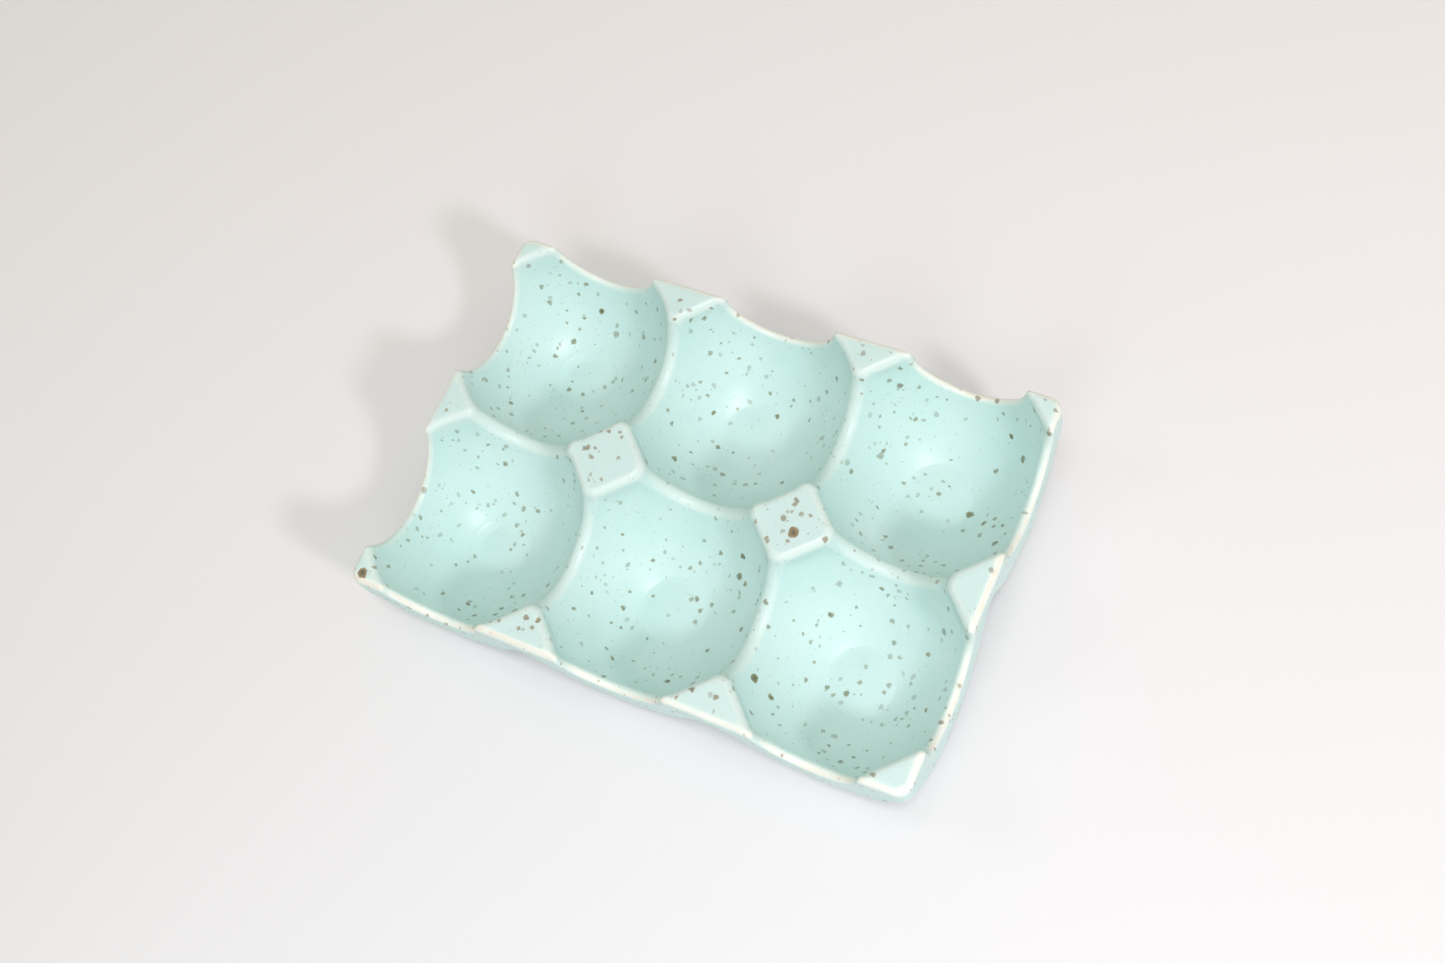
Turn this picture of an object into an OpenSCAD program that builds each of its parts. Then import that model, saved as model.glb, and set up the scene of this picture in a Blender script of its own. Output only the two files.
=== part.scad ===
// Egg tray: one fired shell with two rows of three round cups.
// +X runs along the rows, +Y to the back, +Z up. The origin is on the table,
// under the middle of the tray. Neighbouring cups meet in rounded saddle ridges,
// and a flat-topped post stands wherever the corners of cups meet.
// Every node is a section of the same ceramic body, and the sections meet face to face.

/* [Cup grid] */
// Distance between the centres of neighbouring cups
pitch = 50; // [48:0.5:54]
// Distance from an end cup's centre to the end face of the tray
end_margin = 24; // [22.5:0.5:25]
// Distance from a cup's centre to the front or back face of the tray
side_margin = 25.2; // [22.8:0.4:26]

/* [Posts and bowls] */
// Width of a post from tip to tip, which leaves the rest of the pitch to the bowls
post_w = 22.1; // [20:0.1:23.5]
// Height of the round bowls' centres above the flat tops of the posts
bowl_lift = 4; // [3:0.25:5]
// Radius of the flat floor at the bottom of a bowl
floor_r = 9; // [6:0.5:11]

/* [Shell] */
// Thickness of the ceramic wall around a bowl
wall_t = 5.5; // [4.5:0.25:6.5]
// Thickness of the ceramic under a bowl's floor
floor_t = 5.5; // [4:0.25:6]
// Thickness of the flat web at the middle of a post
web_t = 6; // [4:0.5:8]

/* [Rounding] */
// Radius along the crest of a ridge between two cups
ridge_round = 1.8; // [1.2:0.1:2.2]
// Radius along the outer rim of the tray
rim_round = 2; // [1.4:0.1:2.4]
// Radius around the flat top of a post
post_round = 1.6; // [1:0.1:2]
// Radius of the tray's four upright corners, seen from above
corner_round = 3.5; // [2:0.5:5]

/* [Hidden] */
$fn = 96;

COLUMNS = [-1, 0, 1];       // cup columns, left to right, in pitches
ROWS = [-0.5, 0.5];         // cup rows, front to back, in pitches
CUT = 1;                    // how far a cutting solid runs past what it cuts
NIP = 0.03;                 // how far a rounded edge bites into the surfaces it joins

half = pitch / 2;
post_reach = post_w / 2;                    // from a post's centre to its tips
mouth_r = sqrt(pow(half, 2) + pow(half - post_reach, 2));   // radius of a bowl at the post tops
bowl_r = sqrt(pow(mouth_r, 2) + pow(bowl_lift, 2));         // radius of the round bowls
tray_x = pitch + end_margin;                // half length of the tray
tray_y = half + side_margin;                // half width of the tray
outer_r = bowl_r + wall_t;                  // outside radius of the shell round a bowl
floor_drop = sqrt(pow(bowl_r, 2) - pow(floor_r, 2));    // from a bowl's centre to its floor
bowl_z = floor_t + floor_drop;              // height of the bowls' centres
top_z = bowl_z - bowl_lift;                 // height of the posts' flat tops

// The tray's outline in plan, from the table up to the post tops
module tray_block() {
    linear_extrude(top_z) {
        square([2 * tray_x, 2 * (tray_y - corner_round)], center = true);
        square([2 * (tray_x - corner_round), 2 * tray_y], center = true);
        for (x = [-1, 1], y = [-1, 1])
            translate([x * (tray_x - corner_round), y * (tray_y - corner_round)])
                circle(corner_round);
    }
}

// The square of the plan that belongs to one cup
module cell(col, row) {
    translate([(col - 0.5) * pitch, (row - 0.5) * pitch, 0])
        cube([pitch, pitch, top_z]);
}

// Outside of the shell round one bowl
module shell_round(col, row) {
    translate([col * pitch, row * pitch, bowl_z]) sphere(outer_r);
}

// Diamond column that sets a post apart from the cups; x and y are in pitches
module post_column(x, y) {
    side = post_reach * sqrt(2);
    translate([x * pitch, y * pitch, 0])
        rotate([0, 0, 45])
            translate([-side / 2, -side / 2, 0])
                cube([side, side, top_z]);
}

// Space that rounds the edge of a bowl with radius w. The round edge's centre line
// goes round the X axis at a distance of crest from the bowl's centre.
module edge_space(w, crest) {
    line_r = sqrt(pow(bowl_r + w, 2) - pow(crest, 2));
    touch = bowl_r / (bowl_r + w);          // where the round meets the bowl, as a share
    rotate([0, 90, 0])
        rotate(180)
            rotate_extrude()
                difference() {
                    translate([0, crest * touch])
                        square([line_r * touch, crest * (1 - touch) + w]);
                    translate([line_r, crest]) circle(w + NIP);
                }
}

// Saddle between a cup and its neighbour, or the tray's face, in the direction turn
module saddle_space(col, row, turn) {
    past_end = abs(col + cos(turn)) > 1.5;
    past_side = abs(row + sin(turn)) > 1;
    translate([col * pitch, row * pitch, bowl_z])
        rotate([0, 0, turn])
            if (past_end) edge_space(rim_round, end_margin - rim_round);
            else if (past_side) edge_space(rim_round, side_margin - rim_round);
            else edge_space(ridge_round, half);
}

// A bowl with its flat floor, opening out round the flat tops of the posts
module bowl_space(col, row) {
    touch = bowl_r / (bowl_r + post_round);
    line_z = -bowl_lift - post_round;
    line_r = sqrt(pow(bowl_r + post_round, 2) - pow(line_z, 2));
    translate([col * pitch, row * pitch, bowl_z]) {
        difference() {
            sphere(bowl_r);
            translate([0, 0, -floor_drop - bowl_r]) cylinder(r = bowl_r, h = bowl_r);
        }
        rotate_extrude()
            difference() {
                translate([0, line_z * touch])
                    square([line_r, CUT - bowl_lift - line_z * touch]);
                translate([line_r, line_z]) circle(post_round + NIP);
            }
    }
}

// All the space that one cup leaves open
module cup_space(col, row) {
    bowl_space(col, row);
    for (turn = [0, 90, 180, 270]) saddle_space(col, row, turn);
}

// Strips of space that round the upper edge of the tray's four faces
module top_edge_space() {
    for (turn = [0, 90, 180, 270]) {
        along = turn % 180 == 0 ? tray_x : tray_y;
        across = turn % 180 == 0 ? tray_y : tray_x;
        rotate([0, 0, turn])
            translate([-along, across - post_round, top_z - post_round])
                rotate([90, 0, 90])
                    linear_extrude(2 * along)
                        difference() {
                            square(post_round + CUT);
                            circle(post_round + NIP);
                        }
    }
}

// Round cup with its share of the ridges and the rim, less the posts at its corners
module cup(col, row) {
    color("paleturquoise")
        difference() {
            intersection() {
                tray_block();
                cell(col, row);
                shell_round(col, row);
            }
            cup_space(col, row);
            for (x = [-0.5, 0.5], y = [-0.5, 0.5]) post_column(col + x, row + y);
        }
}

// Flat-topped post among the one, two or four cups round the grid point x, y
module post(x, y) {
    cups = [for (col = COLUMNS, row = ROWS)
        if (abs(col - x) < 1 && abs(row - y) < 1) [col, row]];
    color("lightcyan")
        difference() {
            intersection() {
                tray_block();
                post_column(x, y);
                union() {
                    for (c = cups) intersection() { cell(c[0], c[1]); shell_round(c[0], c[1]); }
                    translate([x * pitch - half, y * pitch - half, top_z - web_t])
                        cube([pitch, pitch, web_t]);
                }
            }
            for (c = cups) cup_space(c[0], c[1]);
            top_edge_space();
        }
}

cup(-1, 0.5);  // cup_back_left
cup(0, 0.5);  // cup_back_middle
mirror([1, 0, 0]) cup(-1, 0.5);  // cup_back_right
cup(-1, -0.5);  // cup_front_left
cup(0, -0.5);  // cup_front_middle
mirror([1, 0, 0]) cup(-1, -0.5);  // cup_front_right
post(-0.5, 0);  // post_inner_left
post(0.5, 0);  // post_inner_right
post(-0.5, 1);  // post_back_left
post(0.5, 1);  // post_back_right
post(-0.5, -1);  // post_front_left
post(0.5, -1);  // post_front_right
post(-1.5, 0);  // post_end_left
post(1.5, 0);  // post_end_right
post(-1.5, 1);  // corner_back_left
post(1.5, 1);  // corner_back_right
post(-1.5, -1);  // corner_front_left
post(1.5, -1);  // corner_front_right
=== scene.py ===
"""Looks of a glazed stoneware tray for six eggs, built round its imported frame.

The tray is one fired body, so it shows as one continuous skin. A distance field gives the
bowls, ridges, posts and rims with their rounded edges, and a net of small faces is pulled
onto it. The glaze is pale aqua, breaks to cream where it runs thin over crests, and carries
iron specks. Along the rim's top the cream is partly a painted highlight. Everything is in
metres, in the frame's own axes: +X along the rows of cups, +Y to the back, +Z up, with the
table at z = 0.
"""

import itertools
import logging
import math
from dataclasses import dataclass
from enum import Enum

import bpy
import numpy as np
from mathutils import Matrix, Vector


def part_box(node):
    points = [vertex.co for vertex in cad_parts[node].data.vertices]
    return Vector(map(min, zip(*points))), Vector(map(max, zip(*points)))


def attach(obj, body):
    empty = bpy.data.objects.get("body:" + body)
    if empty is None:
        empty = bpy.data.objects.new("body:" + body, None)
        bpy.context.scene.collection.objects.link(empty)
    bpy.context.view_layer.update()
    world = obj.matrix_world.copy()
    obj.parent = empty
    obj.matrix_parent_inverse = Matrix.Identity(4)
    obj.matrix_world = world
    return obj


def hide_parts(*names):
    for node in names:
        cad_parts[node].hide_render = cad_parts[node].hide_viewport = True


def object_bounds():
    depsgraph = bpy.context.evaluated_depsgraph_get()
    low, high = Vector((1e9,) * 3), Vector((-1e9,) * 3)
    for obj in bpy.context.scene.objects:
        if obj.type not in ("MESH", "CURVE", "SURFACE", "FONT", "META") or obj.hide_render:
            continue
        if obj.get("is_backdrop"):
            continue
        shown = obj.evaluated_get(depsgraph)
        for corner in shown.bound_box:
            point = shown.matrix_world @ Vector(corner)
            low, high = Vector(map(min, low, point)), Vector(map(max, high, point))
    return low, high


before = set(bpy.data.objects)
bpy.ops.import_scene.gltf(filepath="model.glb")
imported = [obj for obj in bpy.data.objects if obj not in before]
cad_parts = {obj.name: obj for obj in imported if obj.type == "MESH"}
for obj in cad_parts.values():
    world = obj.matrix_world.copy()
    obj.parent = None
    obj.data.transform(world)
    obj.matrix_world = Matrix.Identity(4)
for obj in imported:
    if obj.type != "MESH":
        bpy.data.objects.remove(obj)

MM = 0.001
TINY = 1e-9             # keeps a division from failing where a length is nothing
LEAST_SPREAD = 1e-4     # how nearly two surfaces may face the same way at a rounded edge
LOG = logging.getLogger("egg_tray")

Place = tuple[float, float, float]
Colour = tuple[float, float, float]
Socket = bpy.types.NodeSocket


def srgb(red: int, green: int, blue: int) -> Colour:
    """Turns an 8-bit screen colour into linear light.

    Args:
        red: Red, from 0 to 255.
        green: Green, from 0 to 255.
        blue: Blue, from 0 to 255.

    Returns:
        The colour as three linear shares of full light.
    """
    return tuple(
        c / 12.92 if c <= 0.04045 else ((c + 0.055) / 1.055) ** 2.4
        for c in (red / 255, green / 255, blue / 255)
    )


def eased(value: np.ndarray, low: float, high: float) -> np.ndarray:
    """Rises smoothly from 0 at low to 1 at high.

    Args:
        value: What to judge.
        low: Where the rise starts.
        high: Where it ends.

    Returns:
        Shares from 0 to 1, one for each value.
    """
    share = np.clip((value - low) / (high - low), 0, 1)
    return share * share * (3 - 2 * share)


# ---------------------------------------------------------------- shapes as distances


@dataclass
class Solid:
    """A solid sampled at points: how far outside it each point is, and which way is out."""

    distance: np.ndarray
    outward: np.ndarray

    def inverse(self) -> "Solid":
        """The same surface with its inside and outside swapped."""
        return Solid(-self.distance, -self.outward)

    def trimmed(self, other: "Solid", radius: float) -> "Solid":
        """Keeps what lies in both solids and rounds the edge where their surfaces cross.

        Args:
            other: The solid to trim to.
            radius: Radius of the rounded edge.

        Returns:
            The shared solid, sampled at the same points.
        """
        cosine = (self.outward * other.outward).sum(0)
        mine, theirs = self.distance + radius, other.distance + radius
        spread = np.maximum(1 - cosine**2, LEAST_SPREAD)
        my_share = (mine - cosine * theirs) / spread
        their_share = (theirs - cosine * mine) / spread
        ball = my_share * self.outward + their_share * other.outward
        reach = np.sqrt((ball**2).sum(0)) + TINY
        on_edge = (my_share > 0) & (their_share > 0)
        nearer = self.distance > other.distance
        plain = np.where(nearer, self.distance, other.distance)
        return Solid(
            np.where(on_edge, reach - radius, plain),
            np.where(on_edge, ball / reach, np.where(nearer, self.outward, other.outward)),
        )

    def joined(self, other: "Solid", radius: float) -> "Solid":
        """Both solids together, with a fillet of that radius where they meet."""
        return self.inverse().trimmed(other.inverse(), radius).inverse()


def ball(points: np.ndarray, centre: Place, radius: float) -> Solid:
    """A ball.

    Args:
        points: Where to sample it, as three rows.
        centre: Its centre.
        radius: Its radius.

    Returns:
        The ball, sampled at the points.
    """
    away = points - np.array(centre, points.dtype)[:, None]
    reach = np.sqrt((away**2).sum(0)) + TINY
    return Solid(reach - radius, away / reach)


def above(points: np.ndarray, height: float) -> Solid:
    """Everything above a level plane.

    Args:
        points: Where to sample it, as three rows.
        height: The plane's height.

    Returns:
        The half space, sampled at the points.
    """
    outward = np.zeros_like(points)
    outward[2] = -1
    return Solid(height - points[2], outward)


def upright_block(
    points: np.ndarray, half_x: float | np.ndarray, half_y: float | np.ndarray, corner: float
) -> Solid:
    """An endless upright bar with a rounded rectangular section, centred on the Z axis.

    Args:
        points: Where to sample it, as three rows.
        half_x: Half its length, in all or for each point.
        half_y: Half its width, in all or for each point.
        corner: Radius of its upright corners.

    Returns:
        The bar, sampled at the points.
    """
    over = np.stack([np.abs(points[0]) - half_x, np.abs(points[1]) - half_y]) + corner
    past = np.maximum(over, 0)
    reach = np.sqrt((past**2).sum(0))
    distance = reach + np.minimum(over.max(0), 0) - corner
    outward = np.zeros_like(points)
    at_corner = reach > TINY
    along_x = over[0] > over[1]
    outward[0] = np.where(at_corner, past[0] / (reach + TINY), along_x)
    outward[1] = np.where(at_corner, past[1] / (reach + TINY), ~along_x)
    outward[:2] *= np.sign(points[:2])
    return Solid(distance, outward)


def upright_diamond(points: np.ndarray, reach: np.ndarray, corner: float) -> Solid:
    """An endless upright bar on the Z axis whose square section stands on its corner.

    Args:
        points: Where to sample it, as three rows.
        reach: How far its corners would reach if they weren't rounded, for each point.
        corner: Radius of its upright corners.

    Returns:
        The bar, sampled at the points.
    """
    half = math.sqrt(0.5)
    turn = np.array([[half, half, 0], [-half, half, 0], [0, 0, 1]], points.dtype)
    bar = upright_block(turn @ points, reach * half, reach * half, corner)
    return Solid(bar.distance, turn.T @ bar.outward)


@dataclass(frozen=True)
class Ripple:
    """A gentle unevenness made of random slow waves, the same on every run."""

    height: float
    shortest: float
    longest: float
    seed: int
    waves: int = 9

    def at(self, points: np.ndarray) -> np.ndarray:
        """Samples the unevenness.

        Args:
            points: Where to sample it, as three rows.

        Returns:
            One height for each point, mostly between plus and minus the ripple's height.
        """
        rng = np.random.default_rng(self.seed)
        total = np.zeros(points.shape[1], points.dtype)
        for _ in range(self.waves):
            way = rng.normal(size=3)
            way *= 2 * math.pi / rng.uniform(self.shortest, self.longest) / np.linalg.norm(way)
            total += np.sin(way.astype(points.dtype) @ points + rng.uniform(0, 2 * math.pi))
        return total * self.height / math.sqrt(self.waves / 2)


# ---------------------------------------------------------------- the skin's net of faces


@dataclass(frozen=True)
class Net:
    """Lays a closed net of four-sided faces over a solid."""

    step: float
    settles: int = 3

    def points_over(self, low: Vector, high: Vector) -> tuple[np.ndarray, tuple[int, ...]]:
        """Makes a block of evenly spaced points.

        Args:
            low: The block's lowest corner.
            high: The block's highest corner.

        Returns:
            The points as three rows, and how many there are each way.
        """
        ways = [np.arange(low[i], high[i] + self.step, self.step) for i in range(3)]
        grid = np.meshgrid(*ways, indexing="ij")
        return np.stack([g.ravel() for g in grid]).astype(np.float32), grid[0].shape

    def start(self, distance: np.ndarray, low: Vector) -> tuple[np.ndarray, np.ndarray]:
        """Finds the cells that the surface runs through and joins neighbours with faces.

        Args:
            distance: The solid's distance at a block of evenly spaced points.
            low: The block's lowest corner.

        Returns:
            The net's points as three rows, and its faces as rows of four point numbers.
        """
        inside = distance < 0
        corners = list(itertools.product((0, 1), repeat=3))
        size = np.array(distance.shape) - 1
        full = sum(
            inside[x : size[0] + x, y : size[1] + y, z : size[2] + z].astype(np.int8)
            for x, y, z in corners
        )
        cells = np.argwhere((full > 0) & (full < 8))
        number = np.full(size, -1, np.int32)
        number[tuple(cells.T)] = np.arange(len(cells))
        total, hits = np.zeros((len(cells), 3)), np.zeros((len(cells), 1))
        for corner, axis in itertools.product(corners, range(3)):
            if corner[axis]:
                continue
            step = np.eye(3, dtype=int)[axis]
            first = distance[tuple((cells + corner).T)]
            last = distance[tuple((cells + corner + step).T)]
            crossed = (first < 0) != (last < 0)
            share = np.where(crossed, first / np.where(crossed, first - last, 1), 0)
            total += (np.array(corner) + share[:, None] * step) * crossed[:, None]
            hits += crossed[:, None]
        points = (cells + total / hits) * self.step + np.array(low)
        return points.T, np.concatenate([self._faces(inside, number, axis) for axis in range(3)])

    @staticmethod
    def _faces(inside: np.ndarray, number: np.ndarray, axis: int) -> np.ndarray:
        """Makes the faces that cross the block's edges along one axis.

        Args:
            inside: Whether each of the block's points is in the solid.
            number: The net point in each of the block's cells.
            axis: The axis, from 0 to 2.

        Returns:
            Faces as rows of four point numbers, in order round their outward side.
        """
        count = inside.shape[axis]
        first = np.take(inside, range(count - 1), axis)
        last = np.take(inside, range(1, count), axis)
        edges = np.argwhere(first != last)
        across, up = np.roll(np.eye(3, dtype=int), -(axis + 1), axis=0)[:2]
        around = (edges, edges - across, edges - across - up, edges - up)
        faces = np.stack([number[tuple(cells.T)] for cells in around], axis=1)
        leaving = first[tuple(edges.T)]
        return np.where(leaving[:, None], faces, faces[:, ::-1])


# ---------------------------------------------------------------- finishes


class Feature(Enum):
    """What the skin tells its glaze about each point, by the name of its attribute."""

    CREST = "crest"
    RIM_CREAM_AND_HIGHLIGHT = "rim"
    BARE = "bare"


class Sketch:
    """Adds shader nodes to one new material and joins them up."""

    def __init__(self, name: str) -> None:
        """Starts a material with only an output and a principled shader.

        Args:
            name: The material's name.
        """
        self.material = bpy.data.materials.new(name)
        self.material.use_nodes = True
        self.tree = self.material.node_tree
        self.shader = self.tree.nodes["Principled BSDF"]

    def node(self, kind: str, inputs: dict, **settings: object) -> bpy.types.Node:
        """Adds a node.

        Args:
            kind: The node's type, without its ShaderNode prefix.
            inputs: Values or sockets for its inputs, by name or number.
            settings: The node's own settings.

        Returns:
            The new node.
        """
        node = self.tree.nodes.new("ShaderNode" + kind)
        for key, value in settings.items():
            setattr(node, key, value)
        for key, value in inputs.items():
            self.feed(node.inputs[key], value)
        return node

    def feed(self, socket: Socket, value: object) -> None:
        """Sets an input to a value, or joins another node's output to it.

        Args:
            socket: The input.
            value: A number, a colour, a vector or another node's output.
        """
        if isinstance(value, Socket):
            self.tree.links.new(value, socket)
        elif isinstance(value, tuple) and socket.type == "RGBA":
            socket.default_value = (*value, 1)
        else:
            socket.default_value = value

    def maths(self, operation: str, *values: object) -> Socket:
        """Works out a number from one, two or three others."""
        return self.node("Math", dict(enumerate(values)), operation=operation).outputs[0]

    def vector(self, operation: str, *values: object) -> Socket:
        """Works out a vector from one or two others."""
        return self.node("VectorMath", dict(enumerate(values)), operation=operation).outputs[0]

    def mixed(self, share: object, first: object, second: object) -> Socket:
        """Mixes two colours, through the colour sockets that the node numbers 6, 7 and 2."""
        return self.node("Mix", {0: share, 6: first, 7: second}, data_type="RGBA").outputs[2]

    def ranged(
        self, value: Socket, low: float | Socket, high: float, smooth: bool = True
    ) -> Socket:
        """Turns a value into a share.

        Args:
            value: What to judge.
            low: The value, or the output, at which the share is 0.
            high: The value at which it is 1.
            smooth: Whether the share starts and ends gently.

        Returns:
            The share, from 0 to 1.
        """
        return self.node(
            "MapRange",
            {"Value": value, "From Min": low, "From Max": high},
            interpolation_type="SMOOTHSTEP" if smooth else "LINEAR",
        ).outputs[0]

    def noise(self, place: Socket, wavelength: float, detail: float = 2) -> bpy.types.Node:
        """Adds soft noise whose bumps are about as wide as the wavelength."""
        return self.node("TexNoise", {"Vector": place, "Scale": 1 / wavelength, "Detail": detail})

    def feature(self, feature: Feature) -> Socket:
        """Reads one of the skin's own values."""
        return self.node("Attribute", {}, attribute_name=feature.value).outputs["Fac"]


@dataclass(frozen=True)
class Scatter:
    """One size of iron speck.

    The glaze is split into cells of about one width, and a share of them holds a speck each.
    Specks grow up to the radius, and their edges are soft over a given width. The strength is
    how fully a speck covers the glaze. The shift sets these cells apart from the other sizes'.
    """

    cell: float
    share: float
    radius: float
    soft: float
    strength: float
    shift: float

    def draw(self, sketch: Sketch, place: Socket, crowd: Socket) -> tuple[Socket, Socket]:
        """Adds the specks.

        Args:
            sketch: The material to add them to.
            place: Where each point of the surface is.
            crowd: How thickly specks lie there, as a share of the usual.

        Returns:
            How strongly the specks cover the glaze, and how near their cores each point is.
        """
        moved = sketch.vector("ADD", place, (self.shift, self.shift, self.shift))
        cells = sketch.node("TexVoronoi", {"Vector": moved, "Scale": 1 / self.cell})
        chance = sketch.node("SeparateColor", {"Color": cells.outputs["Color"]})
        bar = sketch.maths("MULTIPLY_ADD", crowd, -self.share, 1)
        chosen = sketch.ranged(chance.outputs[0], bar, 1, smooth=False)
        reach = sketch.maths("MULTIPLY", sketch.maths("POWER", chosen, 0.6), self.radius)
        depth = sketch.maths("MULTIPLY_ADD", cells.outputs["Distance"], -self.cell, reach)
        cover = sketch.ranged(depth, 0, self.soft)
        cover = sketch.maths("MULTIPLY", cover, self.strength)
        dark = sketch.maths("MULTIPLY_ADD", chance.outputs[1], 0.6, 0.4)
        core = sketch.ranged(depth, 0.3 * self.radius, 0.8 * self.radius)
        return sketch.maths("MULTIPLY", cover, dark), core


@dataclass(frozen=True)
class SpeckledGlaze:
    """Satin aqua glaze that breaks to cream on crests, with iron specks in and under it. Along
    the rim's top the cream is partly a painted highlight.

    A wave is how far apart the bumps of a soft pattern lie. Depths are measured down from the
    posts' flat tops, and heights up from the table. Where a pair is given, a change starts at
    the first and is complete at the second.
    """

    pool: Colour = srgb(190, 222, 218)
    body: Colour = srgb(200, 226, 223)
    thin: Colour = srgb(201, 224, 221)
    cream: Colour = srgb(236, 239, 230)
    blush: Colour = srgb(222, 206, 186)
    olive: Colour = srgb(118, 124, 82)
    brown: Colour = srgb(140, 121, 88)
    core: Colour = srgb(84, 76, 52)
    clay: Colour = srgb(214, 203, 186)
    clay_shade: Colour = srgb(190, 176, 156)
    roughness: float = 0.34
    drift_wave: float = 22 * MM
    mottle_wave: float = 2.2 * MM
    grain_wave: float = 0.5 * MM
    crowd_wave: float = 11 * MM
    crowding: tuple[float, float] = (0.25, 1.9)
    wobble_wave: float = 1.3 * MM
    wobble_reach: float = 1.5 * MM
    thin_depths: tuple[float, float] = (5 * MM, 1 * MM)
    brown_depths: tuple[float, float] = (2 * MM, 0.5 * MM)
    spot_soft: float = 0.3 * MM
    heavy_spot: float = 1.3 * MM
    ring_radius: float = 8.8 * MM
    ring_width: float = 0.8 * MM
    ring_relief: float = 0.04 * MM
    ring_heights: tuple[float, float] = (4 * MM, 5 * MM)
    peel_wave: float = 1.6 * MM
    peel_relief: float = 0.1 * MM
    peel_strength: float = 0.12
    specks: tuple[Scatter, ...] = (
        Scatter(1.15 * MM, 0.55, 0.32 * MM, 0.16 * MM, 0.4, 0.0),
        Scatter(2.3 * MM, 0.54, 0.86 * MM, 0.26 * MM, 0.75, 0.031),
        Scatter(5 * MM, 0.36, 1.1 * MM, 0.36 * MM, 0.95, 0.067),
    )

    def material(
        self, top: float, pitch: float, spots: list[tuple[Vector, float]]
    ) -> bpy.types.Material:
        """Builds the glaze.

        Args:
            top: Height of the posts' flat tops.
            pitch: Distance between the centres of neighbouring cups.
            spots: Centres and radii of the biggest iron spots.

        Returns:
            The finished material.
        """
        sketch = Sketch("speckled_glaze")
        place = sketch.node("TexCoord", {}).outputs["Object"]
        crest = sketch.feature(Feature.CREST)
        colour = self._glaze_colour(sketch, place, crest, top)
        cover, core = self._speck_cover(sketch, place, spots)
        colour = sketch.mixed(cover, colour, self._iron_colour(sketch, place, crest, core, top))
        bare = sketch.feature(Feature.BARE)
        grain = sketch.noise(place, self.grain_wave, 4).outputs[0]
        clay = sketch.mixed(sketch.ranged(grain, 0.35, 0.7), self.clay, self.clay_shade)
        colour = sketch.mixed(bare, colour, clay)
        sketch.feed(sketch.shader.inputs["Base Color"], colour)
        rough = sketch.maths("MULTIPLY_ADD", grain, 0.06, self.roughness - 0.03)
        rough = sketch.maths("MULTIPLY_ADD", bare, 0.5, rough)
        sketch.feed(sketch.shader.inputs["Roughness"], rough)
        peel = self._peel(sketch, place, cover)
        sketch.feed(sketch.shader.inputs["Normal"], self._floor_rings(sketch, place, pitch, peel))
        return sketch.material

    def _iron_colour(
        self, sketch: Sketch, place: Socket, crest: Socket, core: Socket, top: float
    ) -> Socket:
        """Paints the iron, which is olive under thick glaze and brown where the glaze is thin.

        Args:
            sketch: The material to add to.
            place: Where each point of the surface is.
            crest: How strongly the surface bulges.
            core: How near the specks' cores each point is.
            top: Height of the posts' flat tops.

        Returns:
            The iron's colour.
        """
        height = sketch.node("SeparateXYZ", {0: place}).outputs[2]
        start, full = (top - depth for depth in self.brown_depths)
        thin = sketch.maths("MAXIMUM", sketch.ranged(height, start, full), crest)
        return sketch.mixed(core, sketch.mixed(thin, self.olive, self.brown), self.core)

    def _glaze_colour(self, sketch: Sketch, place: Socket, crest: Socket, top: float) -> Socket:
        """Paints the glaze itself.

        Args:
            sketch: The material to add to.
            place: Where each point of the surface is.
            crest: How strongly the surface bulges.
            top: Height of the posts' flat tops.

        Returns:
            The glaze's colour, before any specks.
        """
        drift = sketch.noise(place, self.drift_wave).outputs[0]
        mottle = sketch.noise(place, self.mottle_wave, 3).outputs[0]
        # The drift chooses between the two glazes, and the mottle breaks up their border.
        share = sketch.maths("MULTIPLY_ADD", mottle, 0.25, sketch.maths("MULTIPLY", drift, 0.9))
        colour = sketch.mixed(sketch.ranged(share, 0.35, 0.8), self.pool, self.body)
        height = sketch.node("SeparateXYZ", {0: place}).outputs[2]
        start, full = (top - depth for depth in self.thin_depths)
        colour = sketch.mixed(sketch.ranged(height, start, full), colour, self.thin)
        # Glaze runs thin over crests, and most of all along the rim, where the cream on the
        # upward-facing top is partly a painted highlight.
        rim = sketch.maths("MULTIPLY_ADD", sketch.feature(Feature.RIM_CREAM_AND_HIGHLIGHT), 0.7, 0.25)
        thin_glaze_and_rim_highlight = sketch.maths("ADD", crest, sketch.maths("MULTIPLY_ADD", mottle, 0.6, -0.3))
        thin_glaze_and_rim_highlight = sketch.maths("MULTIPLY", sketch.ranged(thin_glaze_and_rim_highlight, 0.3, 1.1), rim)
        colour = sketch.mixed(thin_glaze_and_rim_highlight, colour, self.cream)
        # Here and there the thinnest glaze shows a blush of the clay.
        edge = sketch.maths("MULTIPLY", sketch.ranged(thin_glaze_and_rim_highlight, 0.75, 0.95), 0.4)
        edge = sketch.maths("MULTIPLY", edge, sketch.ranged(drift, 0.4, 0.6))
        return sketch.mixed(edge, colour, self.blush)

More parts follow.
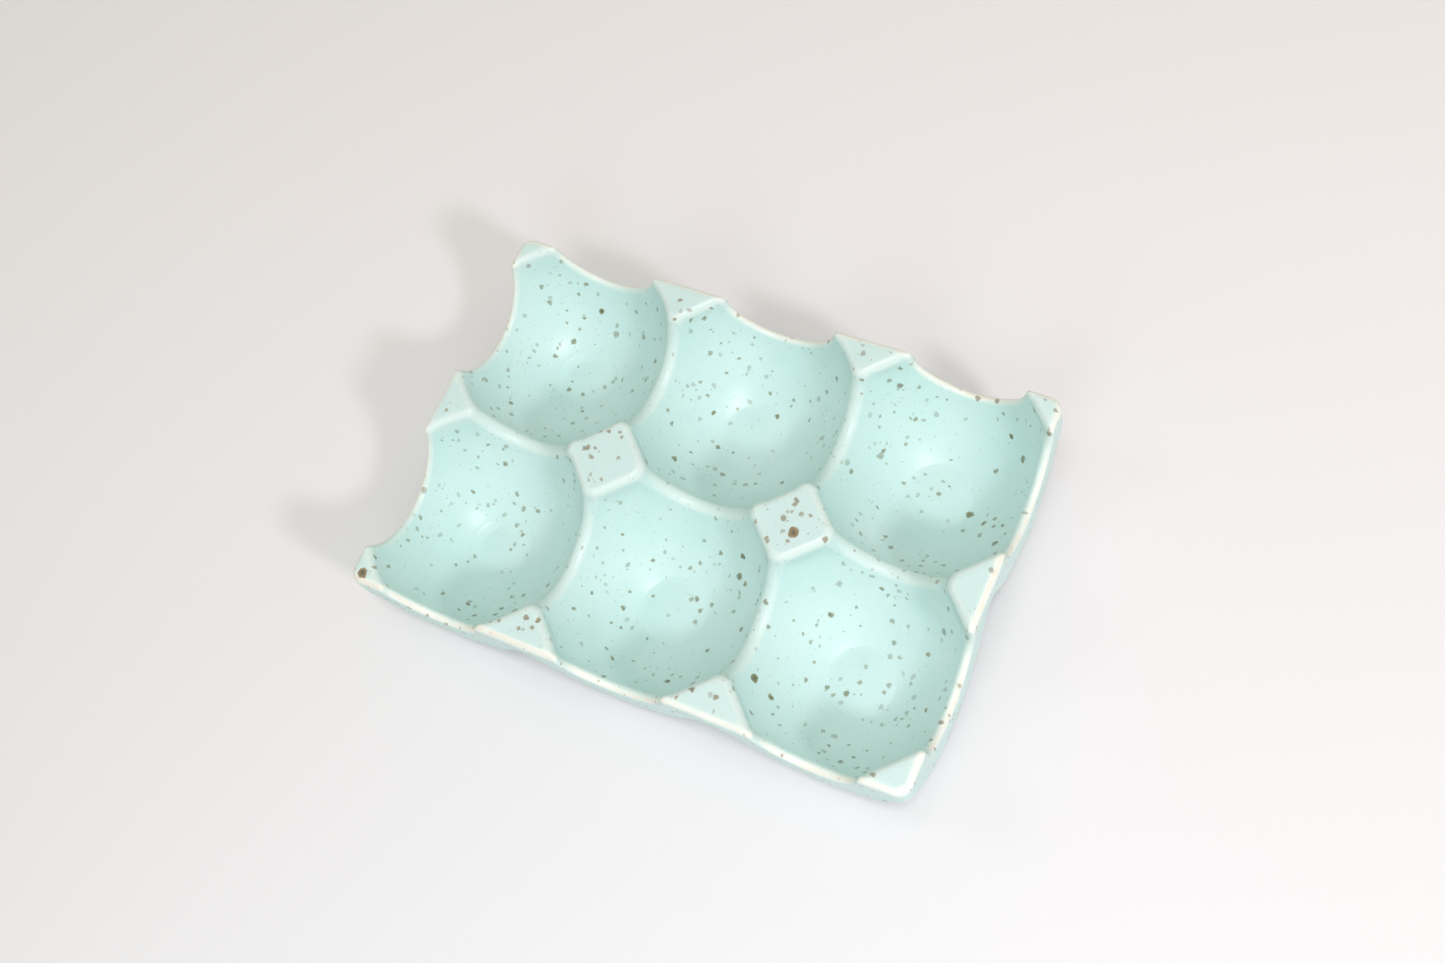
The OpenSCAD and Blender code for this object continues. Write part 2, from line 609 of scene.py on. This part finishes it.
    def _speck_cover(
        self, sketch: Sketch, place: Socket, spots: list[tuple[Vector, float]]
    ) -> tuple[Socket, Socket]:
        """Scatters the iron specks and sets the biggest spots.

        Args:
            sketch: The material to add to.
            place: Where each point of the surface is.
            spots: Centres and radii of the biggest iron spots.

        Returns:
            How strongly iron covers the glaze, and how near the specks' cores each point is.
        """
        crowd = sketch.noise(place, self.crowd_wave, 1).outputs[0]
        crowd = sketch.maths("MULTIPLY_ADD", crowd, 3.2, -0.6)
        crowd = sketch.maths("MAXIMUM", crowd, self.crowding[0])
        crowd = sketch.maths("MINIMUM", crowd, self.crowding[1])
        wobble = sketch.noise(place, self.wobble_wave, 3).outputs["Color"]
        wobble = sketch.vector("SUBTRACT", wobble, (0.5, 0.5, 0.5))
        wobble = sketch.node(
            "VectorMath", {0: wobble, "Scale": self.wobble_reach}, operation="SCALE"
        ).outputs[0]
        place = sketch.vector("ADD", place, wobble)
        cover, core = 0.0, 0.0
        for scatter in self.specks:
            layer, middle = scatter.draw(sketch, place, crowd)
            cover = sketch.maths("MAXIMUM", cover, layer)
            core = sketch.maths("MAXIMUM", core, middle)
        for centre, radius in spots:
            away = sketch.node(
                "VectorMath", {0: place, 1: tuple(centre)}, operation="DISTANCE"
            ).outputs["Value"]
            depth = sketch.maths("SUBTRACT", radius, away)
            # A smaller spot is fainter, and its core is less dark.
            heavy = min(1.0, radius / self.heavy_spot)
            layer = sketch.ranged(depth, 0, self.spot_soft)
            layer = sketch.maths("MULTIPLY", layer, 0.35 + 0.6 * heavy)
            cover = sketch.maths("MAXIMUM", cover, layer)
            middle = sketch.ranged(depth, 0.3 * radius, 0.9 * radius)
            core = sketch.maths("MAXIMUM", core, sketch.maths("MULTIPLY", middle, heavy**2))
        return cover, core

    def _floor_rings(self, sketch: Sketch, place: Socket, pitch: float, normal: Socket) -> Socket:
        """Adds the faint raised ring that shaping leaves round each cup's floor.

        Args:
            sketch: The material to add to.
            place: Where each point of the surface is.
            pitch: Distance between the centres of neighbouring cups.
            normal: The surface's direction so far.

        Returns:
            The surface's direction with the rings.
        """
        split = sketch.node("SeparateXYZ", {0: place})
        across = sketch.maths("WRAP", split.outputs[0], pitch / 2, -pitch / 2)
        along = sketch.maths("WRAP", split.outputs[1], pitch, 0.0)
        along = sketch.maths("SUBTRACT", along, pitch / 2)
        flat = sketch.node("CombineXYZ", {0: across, 1: along})
        reach = sketch.node("VectorMath", {0: flat.outputs[0]}, operation="LENGTH").outputs["Value"]
        off = sketch.maths("ABSOLUTE", sketch.maths("SUBTRACT", reach, self.ring_radius))
        ring = sketch.maths("SUBTRACT", 1.0, sketch.ranged(off, 0, self.ring_width))
        over_floor = sketch.ranged(split.outputs[2], *self.ring_heights)
        ring = sketch.maths("MULTIPLY", ring, over_floor)
        return sketch.node(
            "Bump",
            {"Strength": 1.0, "Distance": self.ring_relief, "Height": ring, "Normal": normal},
        ).outputs[0]

    def _peel(self, sketch: Sketch, place: Socket, cover: Socket) -> Socket:
        """Adds the faint orange peel of the glaze and the slight pits of its specks.

        Args:
            sketch: The material to add to.
            place: Where each point of the surface is.
            cover: How strongly iron covers the glaze.

        Returns:
            The surface's direction.
        """
        peel = sketch.noise(place, self.peel_wave, 2).outputs[0]
        height = sketch.maths("MULTIPLY_ADD", cover, -0.3, peel)
        return sketch.node(
            "Bump",
            {"Strength": self.peel_strength, "Distance": self.peel_relief, "Height": height},
        ).outputs[0]


@dataclass(frozen=True)
class TableTop:
    """Matt white table top that turns a little lighter and warmer towards the back left. The
    lighter back left is painted light that evens out the lamps' fall-off there.

    The turn goes the given way along the table, from where it starts to where it is complete,
    and soft clouds make its front uneven.
    """

    near: Colour = srgb(227, 226, 228)
    far: Colour = srgb(232, 228, 229)
    way: Place = (-0.35, 0.94, 0)
    start: float = -90 * MM
    full: float = 150 * MM
    cloud_wave: float = 180 * MM
    cloud_reach: float = 40 * MM
    roughness: float = 0.55

    def material(self) -> bpy.types.Material:
        """Builds the table's finish.

        Returns:
            The finished material.
        """
        sketch = Sketch("table_top")
        place = sketch.node("TexCoord", {}).outputs["Object"]
        clouds = sketch.noise(place, self.cloud_wave, 3).outputs[0]
        towards = sketch.node(
            "VectorMath", {0: place, 1: self.way}, operation="DOT_PRODUCT"
        ).outputs["Value"]
        share = sketch.maths("MULTIPLY_ADD", clouds, self.cloud_reach, towards)
        # Painted light: the colour grows lighter towards the back left, where the lamps give less
        # light.
        share = sketch.ranged(share, self.start, self.full)
        colour = sketch.mixed(share, self.near, self.far)
        sketch.feed(sketch.shader.inputs["Base Color"], colour)
        sketch.shader.inputs["Roughness"].default_value = self.roughness
        return sketch.material


# ---------------------------------------------------------------- the tray


@dataclass
class TrayShell:
    """The tray's one fired body: bowls, ridges, posts, rims and the hollow underside.

    A drift is how far a bowl's centre lies from its place on the grid, and the glaze takes the
    given length off its radius. post_more is how much further each post reaches than the packed
    ones before its corners are rounded, by column from the left and then by row from the front.
    A spot is its place along X and Y and its width, in millimetres.
    """

    pitch: float
    post_reach: float
    half_x: float
    half_y: float
    top: float
    columns: tuple[int, ...] = (-1, 0, 1)
    rows: tuple[float, ...] = (-0.5, 0.5)
    bowl_lift: float = 4 * MM
    bowl_glaze: float = 0.5 * MM
    bowl_drift: tuple[float, float] = (-0.35 * MM, 0.35 * MM)
    end_bowl_glaze: float = 1.1 * MM
    end_bowl_drift: tuple[float, float] = (0.2 * MM, 0.1 * MM)
    floor: float = 5.9 * MM
    wall: float = 6.2 * MM
    web: float = 6 * MM
    corner: float = 3.5 * MM
    floor_round: float = 2.5 * MM
    ridge_round: float = 2.2 * MM
    rim_round: float = 1.2 * MM
    post_round: float = 2 * MM
    post_corner: float = 4.5 * MM
    post_fillet: float = 8 * MM
    post_more: tuple[tuple[float, ...], ...] = (
        (-0.5 * MM, -1.5 * MM, -0.8 * MM),
        (1.2 * MM, 0.8 * MM, -0.3 * MM),
        (1.2 * MM, 0.5 * MM, -0.3 * MM),
        (3.0 * MM, 1.6 * MM, 0.2 * MM),
    )
    under_fillet: float = 4 * MM
    under_round: float = 1 * MM
    foot_round: float = 1 * MM
    net: Net = Net(0.6 * MM)
    lean: Ripple = Ripple(0.25 * MM, 45 * MM, 90 * MM, 11)
    lean_height: float = 12 * MM
    lean_rise: float = 0.4
    drape: Ripple = Ripple(0.05 * MM, 9 * MM, 20 * MM, 5)
    drape_height: float = 2 * MM
    rim_band: tuple[float, float] = (1.8 * MM, 0.9 * MM)
    bare_band: tuple[float, float] = (0.15 * MM, 0.5 * MM)
    crest_bulge: tuple[float, float] = (0.1, 0.5)
    spots: tuple[tuple[float, float, float], ...] = (
        (-70, -48, 2.9), (26.5, -2, 3), (34, -1, 1.7), (24, 4.5, 1.5), (24, 2.5, 1.2),
        (26, -4.5, 1.4), (21, -5.5, 1.5), (26.5, 11.5, 1.5), (58.5, 23.5, 2.2), (67, 38, 2),
        (28.5, -35, 2.6), (47.5, -28.5, 1.9), (-58, 34, 1.9), (-57.5, 47, 1.7), (-35, -2.5, 1.6),
        (-30.5, 1, 1.7), (-28.5, 1.5, 1.5), (-28.5, -1, 1.4), (-24.5, 7.5, 1.3),
        (-23.5, 6.5, 1.3), (-29.5, 6, 1.2), (-22, 1, 1.2), (-17, 4, 1.6), (-31.5, -46.5, 1.4),
        (-25.5, -43.5, 1.8), (-26, -46.5, 1.5), (-23, -45, 1.4), (-21, -35, 1.5),
        (25.5, -44.5, 1.7), (17, -48, 1.3), (-25.5, 45.5, 1.6), (-15, 10.5, 2), (13, -12, 2.1),
        (15.5, -13.5, 1.8),
    )

    @classmethod
    def from_frame(cls) -> "TrayShell":
        """Reads the tray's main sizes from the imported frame.

        Returns:
            The tray, still to be built.
        """
        low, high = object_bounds()
        cup_low, cup_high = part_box("cup_back_middle")
        post_low, post_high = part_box("post_inner_left")
        return cls(
            pitch=cup_high.x - cup_low.x,
            post_reach=(post_high.x - post_low.x) / 2,
            half_x=(high.x - low.x) / 2,
            half_y=(high.y - low.y) / 2,
            top=high.z,
        )

    @property
    def bowl_r(self) -> float:
        """Radius of the clay's round bowls, from the gap that the posts leave them."""
        mouth = math.hypot(self.pitch / 2, self.pitch / 2 - self.post_reach)
        return math.hypot(mouth, self.bowl_lift)

    def bowls(self) -> list[tuple[Place, float]]:
        """Places the glazed bowls, which are a little uneven by hand.

        Returns:
            The centre and radius of each bowl.
        """
        height = self.top + self.bowl_lift
        bowls = []
        for column, row in itertools.product(self.columns, self.rows):
            at_end = column == self.columns[0]
            shift = self.end_bowl_drift if at_end else self.bowl_drift
            less = self.end_bowl_glaze if at_end else self.bowl_glaze
            centre = (column * self.pitch + shift[0], row * self.pitch + shift[1], height)
            bowls.append((centre, self.bowl_r - less))
        return bowls

    def posts(self, points: np.ndarray) -> Solid:
        """Samples the straight-sided posts.

        Args:
            points: Where to sample them, as three rows.

        Returns:
            The posts as endless upright bars, sampled at the points.
        """
        more = np.array(self.post_more, points.dtype)
        away, nearest = points.copy(), []
        for axis, count in enumerate(more.shape):
            post = np.floor(points[axis] / self.pitch + count / 2).astype(int)
            post = np.clip(post, 0, count - 1)
            away[axis] -= ((post - (count - 1) / 2) * self.pitch).astype(points.dtype)
            nearest.append(post)
        return upright_diamond(away, self.post_reach + more[tuple(nearest)], self.post_corner)

    def solid(self, points: np.ndarray) -> Solid:
        """Samples the clay body.

        Args:
            points: Where to sample it, as three rows.

        Returns:
            The body, sampled at the points.
        """
        foot = above(points, 0)
        sway = np.stack([self.lean.at(np.roll(points, turn, axis=0)) for turn in range(3)])
        sway[2] *= self.lean_rise
        points = points + sway * eased(points[2], 0, self.lean_height)
        body = None
        shell = above(points, self.top - self.web)
        for centre, radius in self.bowls():
            hollow = ball(points, centre, radius)
            hollow = hollow.trimmed(above(points, self.floor), self.floor_round)
            clay = hollow.inverse()
            body = clay if body is None else body.trimmed(clay, self.ridge_round)
            shell = shell.joined(ball(points, centre, self.bowl_r + self.wall), self.under_fillet)
        body = body.joined(self.posts(points), self.post_fillet)
        block = upright_block(points, self.half_x, self.half_y, self.corner)
        body = body.trimmed(block, self.rim_round)
        body = body.trimmed(above(points, self.top).inverse(), self.post_round)
        body = body.trimmed(shell, self.under_round)
        return body.trimmed(foot, self.foot_round)

    def sampled(self, points: np.ndarray, batch: int = 60000) -> Solid:
        """Samples the body in batches that fit the processor's cache.

        Args:
            points: Where to sample it, as three rows.
            batch: How many points there are in a batch.

        Returns:
            The body, sampled at the points.
        """
        parts = [self.solid(points[:, i : i + batch]) for i in range(0, points.shape[1], batch)]
        return Solid(
            np.concatenate([p.distance for p in parts]),
            np.concatenate([p.outward for p in parts], axis=1),
        )

    def skin(self) -> tuple[np.ndarray, np.ndarray, np.ndarray]:
        """Lays the net over the body and settles it onto the surface.

        Returns:
            The net's points and which way is out there, each as three rows, and its faces as
            rows of four point numbers.
        """
        edge = Vector((1, 1, 1)) * 2 * self.net.step
        low = Vector((-self.half_x, -self.half_y, 0)) - edge
        high = Vector((self.half_x, self.half_y, self.top)) + edge
        block, shape = self.net.points_over(low, high)
        points, faces = self.net.start(self.sampled(block).distance.reshape(shape), low)
        for _ in range(self.net.settles):
            solid = self.sampled(points)
            points = points - solid.outward * solid.distance
        lift = self.drape.at(points) * eased(points[2], 0, self.drape_height)
        return points + solid.outward * lift, solid.outward, faces

    def crests(self, points: np.ndarray, reach: float = 1.2 * MM) -> np.ndarray:
        """Judges how strongly the body bulges at each point.

        Args:
            points: Points on the surface, as three rows.
            reach: How far around each point to look.

        Returns:
            Shares from 0 on flats and in bowls to 1 along rims and ridges.
        """
        around = -6 * self.sampled(points).distance
        for axis, way in itertools.product(range(3), (-reach, reach)):
            moved = points.copy()
            moved[axis] += way
            around += self.sampled(moved).distance
        return eased(around / reach**2 * MM, *self.crest_bulge)

    def drop(self, x: float, y: float, step: float = 0.05 * MM) -> Vector:
        """Finds the highest point of the surface above a point of the table.

        Args:
            x: Where to look, along X.
            y: Where to look, along Y.
            step: How far apart the heights are that it tries.

        Returns:
            The point on the surface.
        """
        heights = np.arange(self.top + MM, 0, -step)
        line = np.stack([np.full_like(heights, x), np.full_like(heights, y), heights])
        inside = self.sampled(line).distance < 0
        return Vector((x, y, heights[np.argmax(inside)]))

    def features(self, points: np.ndarray, outward: np.ndarray) -> dict[Feature, np.ndarray]:
        """Works out what the glaze has to know about each point of the skin.

        Args:
            points: Points on the surface, as three rows.
            outward: Which way is out there, as three rows.

        Returns:
            A share from 0 to 1 for each feature and point.
        """
        block = upright_block(points, self.half_x, self.half_y, self.corner)
        start, full = self.rim_band
        # The rim's cream is kept to its upward-facing top, where it is partly a painted highlight.
        upward = eased(outward[2], 0.2, 0.6)
        return {
            Feature.CREST: self.crests(points),
            Feature.RIM_CREAM_AND_HIGHLIGHT: eased(block.distance, -start, -full) * upward,
            Feature.BARE: 1 - eased(points[2], *self.bare_band),
        }

    def build(self, glaze: SpeckledGlaze) -> bpy.types.Object:
        """Makes the skin, glazes it and puts it on the frame.

        Args:
            glaze: The finish.

        Returns:
            The finished piece.
        """
        points, outward, faces = self.skin()
        mesh = bpy.data.meshes.new("tray_shell")
        mesh.from_pydata(points.T.tolist(), [], faces.tolist())
        mesh.polygons.foreach_set("use_smooth", [True] * len(faces))
        for feature, values in self.features(points, outward).items():
            layer = mesh.attributes.new(feature.value, "FLOAT", "POINT")
            layer.data.foreach_set("value", values.astype(np.float32))
        piece = bpy.data.objects.new("tray_shell", mesh)
        bpy.context.scene.collection.objects.link(piece)
        spots = [(self.drop(x * MM, y * MM), wide * MM / 2) for x, y, wide in self.spots]
        mesh.materials.append(glaze.material(self.top, self.pitch, spots))
        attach(piece, "root")
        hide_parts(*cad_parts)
        return piece


# ---------------------------------------------------------------- the studio


@dataclass(frozen=True)
class Lamp:
    """A round soft lamp, placed by where its light comes from.

    Its angles are in degrees, its distance and width in metres and its power in watts. A lamp
    with glints shows in the glaze as a reflection, and one without them only lights it.
    """

    name: str
    azimuth: float
    elevation: float
    distance: float
    size: float
    power: float
    colour: Colour = (1, 1, 1)
    glints: bool = False

    def place(self, target: Vector) -> bpy.types.Object:
        """Hangs the lamp.

        Args:
            target: What it shines at.

        Returns:
            The lamp.
        """
        light = bpy.data.lights.new(self.name, "AREA")
        light.shape = "DISK"
        light.size = self.size
        light.energy = self.power
        light.color = self.colour
        lamp = bpy.data.objects.new(self.name, light)
        lamp.visible_glossy = self.glints
        turn, rise = math.radians(self.azimuth), math.radians(self.elevation)
        way = Vector(
            (math.cos(turn) * math.cos(rise), math.sin(turn) * math.cos(rise), math.sin(rise))
        )
        lamp.location = target + way * self.distance
        lamp.rotation_euler = way.to_track_quat("Z", "Y").to_euler()
        bpy.context.scene.collection.objects.link(lamp)
        return lamp


@dataclass
class Studio:
    """The table, the lamps and the camera.

    The camera stands at one point and aims at another. Its roll is in degrees, and its lens in
    millimetres. The sky's strength is a share of full white light from all round.
    """

    table_half: float = 2.0
    stand: Vector = Vector((136.0, -103.4, 378.3)) * MM
    aim: Vector = Vector((5.2, 4.05, 29.0)) * MM
    roll: float = -28.67
    lens: float = 40.66
    nearest: float = 10 * MM
    sky: float = 0.47
    sky_colour: Colour = (1, 1, 0.84)
    lamps: tuple[Lamp, ...] = (
        Lamp("key_lamp", -18, 35, 0.88, 0.12, 2.7, (1, 0.93, 1)),
        Lamp("front_lamp", -75, 41, 0.45, 0.23, 0.34, (0.8, 0.9, 1)),
        Lamp("left_lamp", 190, 52, 1.0, 0.3, 0.6, (0.75, 0.88, 1)),
        Lamp("ceiling_lamp", 0, 88, 1.2, 0.3, 1.0),
        Lamp("top_lamp", -30, 74, 1.2, 0.2, 4.0, (1, 0.94, 1), True),
    )

    def table(self) -> bpy.types.Object:
        """Lays the pale table top under the tray.

        Returns:
            The table top.
        """
        mesh = bpy.data.meshes.new("table")
        half = self.table_half
        corners = [(-half, -half, 0), (half, -half, 0), (half, half, 0), (-half, half, 0)]
        mesh.from_pydata(corners, [], [(0, 1, 2, 3)])
        mesh.materials.append(TableTop().material())
        table = bpy.data.objects.new("table", mesh)
        bpy.context.scene.collection.objects.link(table)
        table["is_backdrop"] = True
        return table

    def camera(self) -> bpy.types.Object:
        """Sets up the camera, turned about its own axis by the roll.

        Returns:
            The camera.
        """
        camera = bpy.data.objects.new("camera", bpy.data.cameras.new("camera"))
        camera.data.lens = self.lens
        camera.data.clip_start = self.nearest
        level = (self.stand - self.aim).to_track_quat("Z", "Y").to_matrix()
        turned = level @ Matrix.Rotation(math.radians(self.roll), 3, "Z")
        camera.matrix_world = Matrix.Translation(self.stand) @ turned.to_4x4()
        bpy.context.scene.collection.objects.link(camera)
        bpy.context.scene.camera = camera
        return camera

    def build(self) -> None:
        """Makes the whole studio."""
        self.camera()
        self.table()
        for lamp in self.lamps:
            lamp.place(Vector())
        scene = bpy.context.scene
        scene.world = bpy.data.worlds.new("studio")
        scene.world.use_nodes = True
        background = scene.world.node_tree.nodes["Background"]
        background.inputs["Color"].default_value = (*self.sky_colour, 1)
        background.inputs["Strength"].default_value = self.sky
        scene.view_settings.view_transform = "Standard"


def main() -> None:
    """Builds the studio and the tray, and reports each piece."""
    logging.basicConfig(level=logging.INFO, format="%(name)s: %(message)s")
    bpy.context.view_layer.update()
    shell = TrayShell.from_frame()
    Studio().build()
    LOG.info("studio: table, camera and %d lamps", len(Studio.lamps))
    piece = shell.build(SpeckledGlaze())
    mesh = piece.data
    LOG.info("%s: %d points, %d faces", piece.name, len(mesh.vertices), len(mesh.polygons))


if __name__ == "__main__":
    main()
